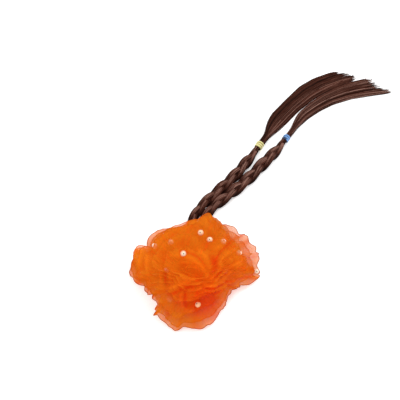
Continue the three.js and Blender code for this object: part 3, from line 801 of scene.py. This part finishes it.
class Layer:
    """One layer of organza, with the small crimps and frilled rim that the solid leaves out."""

    def __init__(self, index, row):
        self.__dict__.update(zip(LAYER_COLUMNS, row))
        self.index = index
        self.z = FIRST_LAYER_Z + index * LAYER_PITCH
        self.flat = FLAT_RADIUS - index * LAYER_PITCH
        draw = np.random.default_rng(CLOTH_SEED + index)
        self.crimps = drawn_waves(draw, CRIMP_WAVES)
        self.frills = drawn_waves(draw, FRILL_WAVES)
        self.scallops = drawn_waves(draw, SCALLOP_WAVES)
        self.pleats = drawn_waves(draw, PLEAT_WAVES, least=0.7)

    @staticmethod
    def facing(theta):
        """How much a direction faces the front of the flower."""
        return np.maximum(0, np.cos(theta - FRONT * DEG)) ** FRONT_SPREAD

    def slant_at(self, theta):
        sheer = lobe_value(theta, SHEER_REACH)
        reach = sheer + (lobe_value(theta, GATHERED_REACH) - sheer) * min(self.index / BASE_LAYERS, 1)
        lobed = self.slant * (1 + self.lobes * (reach / MEAN_REACH - 1))
        cut = 1 - self.cut * self.facing(theta)
        return lobed * cut + SCALLOP_SIZE * lobe_value(theta, FRILL) * wave_sum(self.scallops, theta)

    def rise_at(self, theta):
        return (self.back + (self.front - self.back) * self.facing(theta)) * DEG

    def ruffle(self, share, theta, grown, phase):
        """How far folds, crimps and frills lift the cloth off its plain bowl."""
        slow = np.sin(SLOW_FOLDS * theta + SLOW_PHASE * DEG)
        fold = (1 - SLOW_SHARE) * np.sin(phase) * (1 + SLOW_SHARE * slow) + SLOW_SHARE * slow
        calm = 1 - CALM * np.maximum(0, np.cos(theta - CALM_HEADING * DEG)) ** 2
        gathered = smooth((share - CRIMP_FROM) / CRIMP_OVER) * (1 - CRIMP_FADE * self.index)
        frilled = smooth((share - FRILL_FROM) / (1 - FRILL_FROM)) ** FRILL_POWER * lobe_value(theta, FRILL)
        depth = self.wave * calm * grown * fold
        depth = depth + CRIMP_SIZE * gathered * wave_sum(self.crimps, theta)
        return depth + FRILL_SIZE * frilled * wave_sum(self.frills, theta)

    def point(self, share, theta):
        """A point of the cloth: share runs from the axis, 0, to the rim, 1."""
        rise = self.rise_at(theta)
        slant = self.slant_at(theta)
        along = share * slant
        bend_end = self.flat + self.bend * np.abs(rise)
        turned = np.clip((along - self.flat) / self.bend, 0, np.abs(rise))
        past = np.maximum(0, along - bend_end)
        per_mm = self.curl * DEG / (slant - bend_end)
        slope = turned * np.sign(rise) + per_mm * past
        r = np.minimum(along, self.flat) + self.bend * np.sin(turned)
        z = self.z + np.sign(rise) * self.bend * (1 - np.cos(turned))
        r = r + past * np.cos(rise + per_mm * past / 2)
        z = z + past * np.sin(rise + per_mm * past / 2)
        start = RUFFLE_START * self.flat
        grown = np.clip((along - start) / (slant - start), 0, 1) ** RUFFLE_POWER
        phase = fold_phase(theta + self.index * DRIFT * DEG)
        depth = self.ruffle(share, theta, grown, phase)
        r = r - depth * np.sin(slope)
        z = z + depth * np.cos(slope)
        turn = theta + MEANDER * grown * np.sin(2 * phase) / (2 * FOLDS)
        x, y = crumpled(r * np.cos(turn), r * np.sin(turn), z)
        z = z + crease_height(x, y) * smooth((share - CREASE_FROM) / CREASE_OVER)
        if self.index >= BASE_LAYERS:
            toward = front_view()[2]
            drape = drape_height(x, y, z)
            x, y, z = x + toward[0] * drape, y + toward[1] * drape, z + toward[2] * drape
        ground = ridge_height(x, y) + GAP + WALL / 2 + self.index * LAYER_PITCH
        over = z - ground
        lifted = ground + (over + np.hypot(over, GROUND_SOFTNESS)) / 2
        return np.stack([x, y, np.maximum(z, lifted)], -1)

    def normal(self, share, theta):
        step = 1e-3
        out = self.point(share + step, theta) - self.point(share - step, theta)
        side = self.point(share, theta + step) - self.point(share, theta - step)
        return unit(np.cross(out, side))


def hem_tube(rim):
    """Points of the thin rolled hem along a closed rim."""
    ahead = unit(np.roll(rim, -1, 0) - np.roll(rim, 1, 0))
    points = rim[:, None] + HEM_RADIUS * sections(ahead, HEM_SIDES, NEARLY_UP_AT_RIM)
    return points.reshape(-1, 3)


def front_spots(points, spots):
    """Sum of round spots that fade outwards, as they look from the front."""
    across, above = seen_from_front(*points.T)
    return sum(strength * np.exp(-(np.hypot(across - right, above - up) / radius) ** 2)
               for right, up, radius, strength in spots)


def cloth_looks(layer, points, theta, share, hem_first):
    """How red the painted shade and doubled cloth make the colour, how doubled the cloth is, and how bright
    its painted glow and fold highlights are, at each point.
    """
    hem_count = len(points) - hem_first
    gathered = lobe_value(theta, FRILL) if layer.index < LOWER_LAYERS else CUP_PLEATS
    streak = np.clip(PLEAT_GAIN * wave_sum(layer.pleats, theta), 0, 1) ** 2 * gathered
    pleat = smooth((share[:, None] - PLEAT_FROM) / (1 - PLEAT_FROM)) * streak[None, :]
    pleat = np.concatenate([[0], pleat.ravel(), np.zeros(hem_count)])
    drape = drape_height(*points.T)
    shade_and_doubling = PLEAT_DEEP * pleat
    # Painted shade in the crease hollows
    shade_and_doubling += CREASE_SHADE * np.clip(-crease_height(points[:, 0], points[:, 1]), 0, 1)
    # Painted shade in the clefts of the long folds
    shade_and_doubling += CLEFT_SHADE * np.clip(-drape, 0, 1)
    if layer.index >= LOWER_LAYERS:
        shade_and_doubling[hem_first:] += HEM_DEEP * np.repeat(layer.facing(theta), HEM_SIDES)
    # Spots of painted shade
    shade_and_doubling += front_spots(points, [
        (right, up, radius, low if layer.index < LOWER_LAYERS else high)
        for right, up, radius, low, high in SHADE_SPOTS
    ])
    inward = np.hypot(points[:, 0] - MIDDLE_X, points[:, 1] - MIDDLE_Y) / MIDDLE_RADIUS
    # Painted glow, brighter in the middle and on the ridges of the long folds
    glow = GLOW * (1 + MIDDLE_GLOW * np.exp(-inward ** 2)) * (1 + FOLD_HIGHLIGHT * np.clip(drape, 0, 1))
    return {"shade_and_doubling": shade_and_doubling, "pleat": pleat - front_spots(points, SHEER_SPOTS), "glow": glow}


def make_petal(layer, cloth, hem):
    theta = np.arange(FINE_AROUND) * TURN / FINE_AROUND
    share = np.linspace(0, 1, FINE_ALONG + 1)[1:]
    grid = layer.point(share[:, None], theta[None, :])
    slant = layer.slant_at(theta)
    spread = np.stack(np.broadcast_arrays(share[:, None] * slant[None, :], theta[None, :] * UV_RADIUS), -1)
    rim = grid[-1]
    centre = layer.point(np.zeros((1, 1)), np.zeros((1, 1))).reshape(1, 3)
    faces = [(0, 1 + j, 1 + (j + 1) % FINE_AROUND) for j in range(FINE_AROUND)]
    faces += grid_faces(FINE_ALONG, FINE_AROUND, 1)
    sheet_faces = len(faces)
    hem_first = 1 + FINE_ALONG * FINE_AROUND
    faces += grid_faces(FINE_AROUND, HEM_SIDES, hem_first, closed=True)
    points = np.concatenate([centre, grid.reshape(-1, 3), hem_tube(rim)])
    uv = np.concatenate([[[0, 0]], spread.reshape(-1, 2), np.repeat(spread[-1], HEM_SIDES, 0)])
    made = mesh_object(layer.name + "_cloth", points, faces, cloth, uv=uv,
                       values=cloth_looks(layer, points, theta, share, hem_first))
    made.data.materials.append(hem)
    slots = np.zeros(len(faces), np.int32)
    slots[sheet_faces:] = 1
    made.data.polygons.foreach_set("material_index", slots)
    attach(made, BODY)
    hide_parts(layer.name)


def pearl_profile():
    """Radius, height and share of painted orange reflection for each ring of a pearl, from its back to its
    dimple.
    """
    rings = [(PEARL_BACK, 0.0, EDGE_REFLECTION)]
    last_turn = math.acos((DIMPLE_RADIUS / PEARL_RADIUS) ** (1 / PEARL_ROUNDNESS))
    for share in np.linspace(0, 1, PEARL_ROWS):
        t = share * last_turn
        rings.append((
            PEARL_RADIUS * math.cos(t) ** PEARL_ROUNDNESS,
            PEARL_EDGE + (PEARL_HEIGHT - PEARL_EDGE) * math.sin(t),
            EDGE_REFLECTION * (1 - share) ** EDGE_REFLECTION_FADE,
        ))
    rings.append((DIMPLE_FLOOR, PEARL_HEIGHT - DIMPLE_DEPTH / 2, 0))
    return np.array(rings)


def make_pearl(number, layer, around, share, orange_reflection, material):
    """A half pearl glued on by its flat back, with the small dimple of its drilled hole."""
    theta = around * DEG
    seat = layer.point(np.array(share), np.array(theta))
    normal = layer.normal(np.array(share), np.array(theta))
    turn = np.array(Vector(normal).to_track_quat("Z", "Y").to_matrix())
    columns = PEARL_COLUMNS
    angle = np.arange(columns) * TURN / columns
    radius, height, edge = pearl_profile().T
    rings = np.stack(np.broadcast_arrays(
        radius[:, None] * np.cos(angle), radius[:, None] * np.sin(angle), height[:, None]), -1)
    points = np.concatenate([[(0, 0, 0)], rings.reshape(-1, 3), [(0, 0, PEARL_HEIGHT - DIMPLE_DEPTH)]])
    faces = [(0, 1 + (j + 1) % columns, 1 + j) for j in range(columns)]
    faces += [(a, d, c, b) for a, b, c, d in grid_faces(len(rings), columns, 1)]
    top, last = len(points) - 1, 1 + (len(rings) - 1) * columns
    faces += [(last + j, last + (j + 1) % columns, top) for j in range(columns)]
    placed = points @ turn.T + seat + normal * PEARL_LIFT
    # Painted orange reflection of the cloth, stronger for pearls with more cloth round them
    edge = 1 - (1 - edge) * (1 - orange_reflection)
    dimple = np.arange(len(rings)) == len(rings) - 1
    values = {
        "edge": [edge[0], *np.repeat(edge, columns), edge[-1]],
        "dimple": [0, *np.repeat(dimple, columns), 1],
    }
    made = mesh_object(f"pearl_{number:02d}_bead", placed, faces, material, values=values)
    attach(made, BODY)
    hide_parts(f"pearl_{number:02d}")


# Hair


def smooth_line(knots, count):
    """Even points on a smooth curve through the knots, and the curve's length."""
    knots = np.asarray(knots, float)
    ends = np.concatenate([[2 * knots[0] - knots[1]], knots, [2 * knots[-1] - knots[-2]]])
    t = np.linspace(0, 1, LINE_STEPS, endpoint=False)[:, None]
    fine = []
    for i in range(len(knots) - 1):
        p0, p1, p2, p3 = ends[i:i + 4]
        fine.append(0.5 * (2 * p1 + (p2 - p0) * t + (2 * p0 - 5 * p1 + 4 * p2 - p3) * t ** 2
                           + (3 * p1 - p0 - 3 * p2 + p3) * t ** 3))
    fine = np.concatenate(fine + [knots[-1:]])
    walked = walked_along(fine)
    even = np.linspace(0, walked[-1], count)
    return np.stack([np.interp(even, walked, column) for column in fine.T], -1), walked[-1]


def fibres(paths, radii):
    """Points and faces of many thin closed tubes, one for each path."""
    count, steps, _ = paths.shape
    ring = sections(unit(np.gradient(paths, axis=1)), FIBRE_SIDES, NEARLY_UP_IN_HAIR)
    points = (paths[:, :, None] + radii[:, :, None, None] * ring).reshape(-1, 3)
    faces = []
    for f in range(count):
        faces += tube_faces(steps, FIBRE_SIDES, f * steps * FIBRE_SIDES)
    return points, faces


def band_place(braid):
    """Middle of a braid's band, and the direction of the hair there."""
    middle, _ = smooth_line(braid["line"], BAND_LINE_POINTS)
    heading = unit(middle[-1] - middle[-2])
    centre = middle[-1] + heading * (BRAID_END_GAP + braid["band_width"] / 2)
    return np.array([*centre, braid["band_radius"] + GROUND_GAP]), np.array([*heading, 0.0])


class Strand:
    """Middle line of one strand of a braid, which weaves along and then runs on into the band."""

    def __init__(self, braid, number):
        band, _ = band_place(braid)
        _, woven = smooth_line(braid["line"], STRAND_STEPS)
        middle, length = smooth_line([*braid["line"], band[:2]], STRAND_STEPS)
        self.t = np.linspace(0, 1, STRAND_STEPS)
        self.periods = self.t * length / BRAID_PERIOD
        self.angle = TURN * (self.periods + number / STRANDS)
        ahead = unit(np.gradient(middle, axis=0))
        sideways = np.stack([ahead[:, 1], -ahead[:, 0], 0 * self.t], -1)
        full = smooth_steps(np.minimum(self.t * length / woven, 1), *FULLNESS.T)
        swing = full * STRAND_SWING * braid["swing"] * np.sin(self.angle)
        level = full * (braid["radius"] + braid["rise"] - braid["rise"] * np.sin(2 * self.angle)) + GROUND_GAP
        joined = smooth((self.t * length - woven + JOIN_LENGTH) / JOIN_LENGTH)
        end_angle = TURN * (woven / BRAID_PERIOD + number / STRANDS)
        swing += (JOIN_OFFSET * math.sin(end_angle) - swing) * joined
        level += (band[2] + JOIN_OFFSET * math.cos(end_angle) - level) * joined
        self.line = np.column_stack([middle, level]) + sideways * swing[:, None]
        along = unit(np.gradient(self.line, axis=0))
        self.broad = unit(sideways - along * (sideways * along).sum(1, keepdims=True))
        self.narrow = np.cross(self.broad, along)
        self.width = braid["radius"] * STRAND_WIDTH * full
        self.width += (JOIN_RADIUS - self.width) * joined
        self.thickness = braid["radius"] * STRAND_THICKNESS * full
        self.thickness += (JOIN_RADIUS - self.thickness) * joined

    def around(self, turn, depth):
        """Points round the strand: an angle for each step, and a share of its half width."""
        return (self.line + self.broad * (depth * self.width * np.cos(turn))[..., None]
                + self.narrow * (depth * self.thickness * np.sin(turn))[..., None])


def make_strand(braid, number, material):
    """One strand of a braid: a core painted dark as shade, under a skin of long fibres that follow its weave.
    """
    draw = np.random.default_rng(braid["seed"] + number)
    strand = Strand(braid, number)
    t, count = strand.t, STRAND_FIBRES
    spots = np.linspace(0, TURN, count, endpoint=False) + draw.normal(0, STRAND_JITTER, count)
    depth = draw.uniform(*STRAND_DEPTHS, count)
    waves = np.array([np.sin((k + 1) * math.pi * t * WANDER_LENGTH + k) for k in range(WANDER_WAVES)])
    wander = draw.normal(0, STRAND_JITTER, (count, WANDER_WAVES)) @ waves
    turn = spots[:, None] + STRAND_TWIST * strand.periods + wander
    paths = strand.around(turn, depth[:, None])
    paths[..., 2] = np.maximum(paths[..., 2], FIBRE_RADIUS + FIBRE_FLOOR)
    radii = np.full((count, STRAND_STEPS), FIBRE_RADIUS) * draw.uniform(*FIBRE_RANGE, (count, 1))
    points, faces = fibres(paths, radii)
    # Painted highlights on the arches and on the strands' tops, painted shade where they dive, at their sides
    # and near the flower
    arch = -0.5 * np.sin(2 * strand.angle)
    crest = np.maximum(0, np.sin(turn)) ** 2 - 0.5
    tone = draw.normal(STRAND_TONE, STRAND_STREAKS, count)[:, None] + ARCH_SHINE * arch + CREST_SHINE * crest
    tone = np.clip(tone - ROOT_SHADE * (1 - smooth(t / ROOT_LENGTH)), 0, 1)
    # The core is painted dark as shade
    ring = np.arange(CORE_SIDES) * TURN / CORE_SIDES
    core = strand.around(ring[:, None], CORE_SHARE).swapaxes(0, 1).reshape(-1, 3)
    core[:, 2] = np.maximum(core[:, 2], CORE_FLOOR)
    faces += tube_faces(STRAND_STEPS, CORE_SIDES, len(points))
    points = np.concatenate([points, core])
    tone = np.concatenate([np.repeat(tone.ravel(), FIBRE_SIDES), np.full(len(core), CORE_SHADE)])
    name = f"{braid['name']}_strand_{number + 1}"
    made = mesh_object(name + "_hair", points, faces, material, values={"tone": tone})
    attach(made, BODY)
    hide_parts(name)


def band_windings(braid):
    """Turns of a band: angle round the hair, place along it, radius, half width, and tone painted as light
    and shade.
    """
    half = braid["band_width"] / (2 * BAND_TURNS)
    reach = braid["band_width"] / 2 - half
    radius = braid["band_radius"] - ELASTIC_HALF
    *turn_shades, crossing_shade = TURN_SHADES[braid["band"]]
    turns = BAND_TURNS * np.linspace(0, 1, BAND_STEPS)
    row = np.floor(turns) + smooth((turns % 1 - 1 + STEP_OVER) / STEP_OVER)
    row = np.minimum(row, BAND_TURNS - 1)
    side_by_side = reach * (2 * row / (BAND_TURNS - 1) - 1)
    # Painted light and shade on each turn
    tones = np.interp(row, np.arange(BAND_TURNS), turn_shades)
    crossing = np.linspace(0, TURN * CROSSING_TURNS, CROSSING_STEPS)
    slide = reach * np.cos(crossing / 2)
    return [
        (TURN * turns - math.pi / 2, side_by_side, radius, half, tones),
        (crossing + CROSSING_START, slide, radius + CROSSING_LIFT, half * CROSSING_WIDTH,
         np.full(CROSSING_STEPS, crossing_shade)),
    ]


def make_band(braid, material):
    """A flat elastic wound several times round the hair, with a last turn that crosses the others."""
    centre, heading = band_place(braid)
    side = np.array([heading[1], -heading[0], 0.0])
    up = np.array([0.0, 0.0, 1.0])
    section = np.arange(ELASTIC_SIDES) * TURN / ELASTIC_SIDES
    # Painted shade on the sides of the elastic, in the grooves between its turns
    groove_shade = GROOVE_SHADE + (1 - GROOVE_SHADE) * np.maximum(0, np.sin(section)) ** 2
    points, faces, uv, tone = [], [], [], []
    for angle, place, radius, width, light in band_windings(braid):
        radial = side * np.cos(angle)[:, None] + up * np.sin(angle)[:, None]
        line = centre + heading * place[:, None] + radial * radius
        rim = (line[:, None] + heading * (width * np.cos(section))[None, :, None]
               + radial[:, None] * (ELASTIC_HALF * np.sin(section))[None, :, None])
        rim[..., 2] = np.maximum(rim[..., 2], BAND_FLOOR)
        faces += tube_faces(len(line), ELASTIC_SIDES, sum(len(p) for p in points))
        points.append(rim.reshape(-1, 3))
        uv.append(np.stack([np.repeat(walked_along(line), ELASTIC_SIDES), np.tile(section, len(line))], -1))
        tone.append((light[:, None] * groove_shade[None, :]).ravel())
    made = mesh_object(braid["band"] + "_elastic", np.concatenate(points), faces, material,
                       uv=np.concatenate(uv), values={"tone": np.concatenate(tone)})
    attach(made, BODY)
    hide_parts(braid["band"])


def make_tuft(braid, material):
    """Loose hair: fibres that leave the band together, spread between the tuft's edges and end raggedly."""
    draw = np.random.default_rng(braid["seed"] + TUFT_SEED)
    centre, heading = band_place(braid)
    section_y, left_edge, right_edge = braid["sections"].T
    count, locks = TUFT_FIBRES, TUFT_LOCKS
    t = np.linspace(0, 1, TUFT_STEPS)

    # Place, height, end and tone of each lock and of each fibre in it
    lock = draw.integers(0, locks, count)
    lock_place = (np.arange(locks) + draw.uniform(LOCK_MARGIN, 1 - LOCK_MARGIN, locks)) / locks
    lock_level = draw.uniform(0, 1, locks)
    lock_tip = np.interp(lock_place, *braid["tips"].T)
    lock_tip = lock_tip + np.clip(draw.normal(0, TIP_SPREAD, locks), -TIP_SHORTFALL, TIP_REACH)
    lock_tone = draw.normal(TUFT_TONE, LOCK_STREAKS, locks)
    place = np.clip(lock_place[lock] + draw.normal(0, LOCK_WIDTH, count), -TUFT_SPILL, 1 + TUFT_SPILL)
    level = np.clip(lock_level[lock] + draw.normal(0, LOCK_DEPTH, count), 0, 1)
    tips = lock_tip[lock] + draw.normal(0, TIP_RAGGED, count)
    short = draw.random(count) < SHORT_SHARE
    tips = np.where(short, tips - draw.uniform(*SHORT_BY, count), tips)

    # Lying hair: from edge to edge, with the locks drawing together at their ends
    y_start = centre[1] - braid["band_width"] / 2
    y = y_start + (tips[:, None] - y_start) * t
    left = np.interp(y, section_y, left_edge)
    right = np.interp(y, section_y, right_edge)
    gather = GATHER * smooth((t - GATHER_FROM) / (1 - GATHER_FROM))
    lane = place[:, None] + (lock_place[lock] - place)[:, None] * gather
    crown = np.sqrt(np.maximum(0, 1 - (2 * lane - 1) ** 2)) * (1 - CROWN_EDGE) + CROWN_EDGE
    fall_start = section_y[0] + FALL_FROM
    fall = 1 - FALL * smooth((y - fall_start) / (section_y[-1] - fall_start))
    x_lie = left + (right - left) * lane
    z_lie = TUFT_FLOOR + TUFT_HEIGHT * crown * fall * level[:, None]

    # Bound hair: inside the band, in line with it
    neck = braid["band_radius"] - NECK_INSET
    angle = draw.uniform(0, TURN, count)
    pull = np.sqrt(draw.uniform(0, 1, count))
    x_neck = centre[0] + heading[0] / heading[1] * (y - centre[1])
    x_neck = x_neck + (2 * place - 1)[:, None] * neck * NECK_WIDTH
    z_neck = centre[2] + (neck * NECK_HEIGHT * pull * np.sin(angle))[:, None]

    loose = smooth((y - section_y[0]) / LOOSE_LENGTH)
    waves = np.array([np.sin(math.pi * (k + 1) * t) for k in range(TUFT_WAVES)])
    wave = draw.normal(0, TUFT_WAVE, (count, TUFT_WAVES)) @ waves
    x = x_neck + (x_lie - x_neck) * loose + wave * loose
    z = np.maximum(z_neck + (z_lie - z_neck) * loose, TUFT_FLOOR)
    thin = 1 - THIN * smooth((t - THIN_FROM) / (1 - THIN_FROM))
    radii = TUFT_RADIUS * draw.uniform(*TUFT_RANGE, (count, 1)) * thin
    points, faces = fibres(np.stack([x, y, z], -1), radii)
    # Painted highlight on the upper fibres, painted shade on the lower ones
    tone = lock_tone[lock] + draw.normal(0, TUFT_STREAKS, count) + LEVEL_SHINE * (level - 0.5)
    tone = np.repeat(np.clip(tone, 0, 1), TUFT_STEPS * FIBRE_SIDES)
    made = mesh_object(braid["tuft"] + "_hair", points, faces, material, values={"tone": tone})
    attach(made, BODY)
    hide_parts(braid["tuft"])


# Stage


def make_floor():
    corners = [(x * FLOOR_HALF, y * FLOOR_HALF, 0) for x, y in ((-1, -1), (1, -1), (1, 1), (-1, 1))]
    floor = mesh_object("floor", corners, [(0, 1, 2, 3)], floor_material(), shade_smooth=False)
    floor.location.z = -FLOOR_DROP * MM


def make_camera():
    back = Vector(front_view()[2])
    camera = add_to_scene("camera", bpy.data.cameras.new("camera"))
    camera.data.lens = CAMERA_LENS
    camera.data.sensor_width = SENSOR_WIDTH
    camera.location = Vector(CAMERA_TARGET) + back * CAMERA_DISTANCE
    camera.rotation_euler = (-back).to_track_quat("-Z", "Y").to_euler()
    bpy.context.scene.camera = camera


def make_lights():
    for name, (place, size, power) in LAMPS.items():
        lamp = add_to_scene(name, bpy.data.lights.new(name, "AREA"))
        lamp.data.size = size
        lamp.data.energy = power
        lamp.location = place
        lamp.rotation_euler = (Vector(LAMP_TARGET) - Vector(place)).to_track_quat("-Z", "Y").to_euler()
    world = bpy.data.worlds.new("studio")
    world.use_nodes = True
    sky = world.node_tree.nodes["Background"]
    sky.inputs["Color"].default_value = (1, 1, 1, 1)
    sky.inputs["Strength"].default_value = SKY_STRENGTH
    scene = bpy.context.scene
    scene.world = world
    scene.view_settings.view_transform = "Standard"
    scene.cycles.transparent_max_bounces = SHEER_LAYERS_SEEN_THROUGH


make_floor()
make_camera()
make_lights()

organza = {name: organza_material(name, *row) for name, row in ORGANZA.items()}
layers = {row[0]: Layer(i, row) for i, row in enumerate(LAYER_ROWS)}
for layer in layers.values():
    cloth = "organza_base" if layer.index < BASE_LAYERS else "organza_cup"
    hem = "organza_soft_hem" if layer.index < LOWER_LAYERS else "organza_cup_hem"
    if layer.index == 0:
        hem = "organza_base_hem"
    make_petal(layer, organza[cloth], organza[hem])

bead = pearl_material()
for number, (name, around, share, orange_reflection) in enumerate(PEARLS, 1):
    make_pearl(number, layers[name], around, share, orange_reflection, bead)

hair = hair_material()
elastics = {
    "band_yellow": elastic_material("elastic_yellow", YELLOW_DARK, YELLOW_LIGHT),
    "band_blue": elastic_material("elastic_blue", BLUE_DARK, BLUE_LIGHT),
}
for braid in BRAIDS:
    for number in range(STRANDS):
        make_strand(braid, number, hair)
    make_band(braid, elastics[braid["band"]])
    make_tuft(braid, hair)

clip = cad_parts["clip"]
clip.data.materials.clear()
clip.data.materials.append(clip_material())
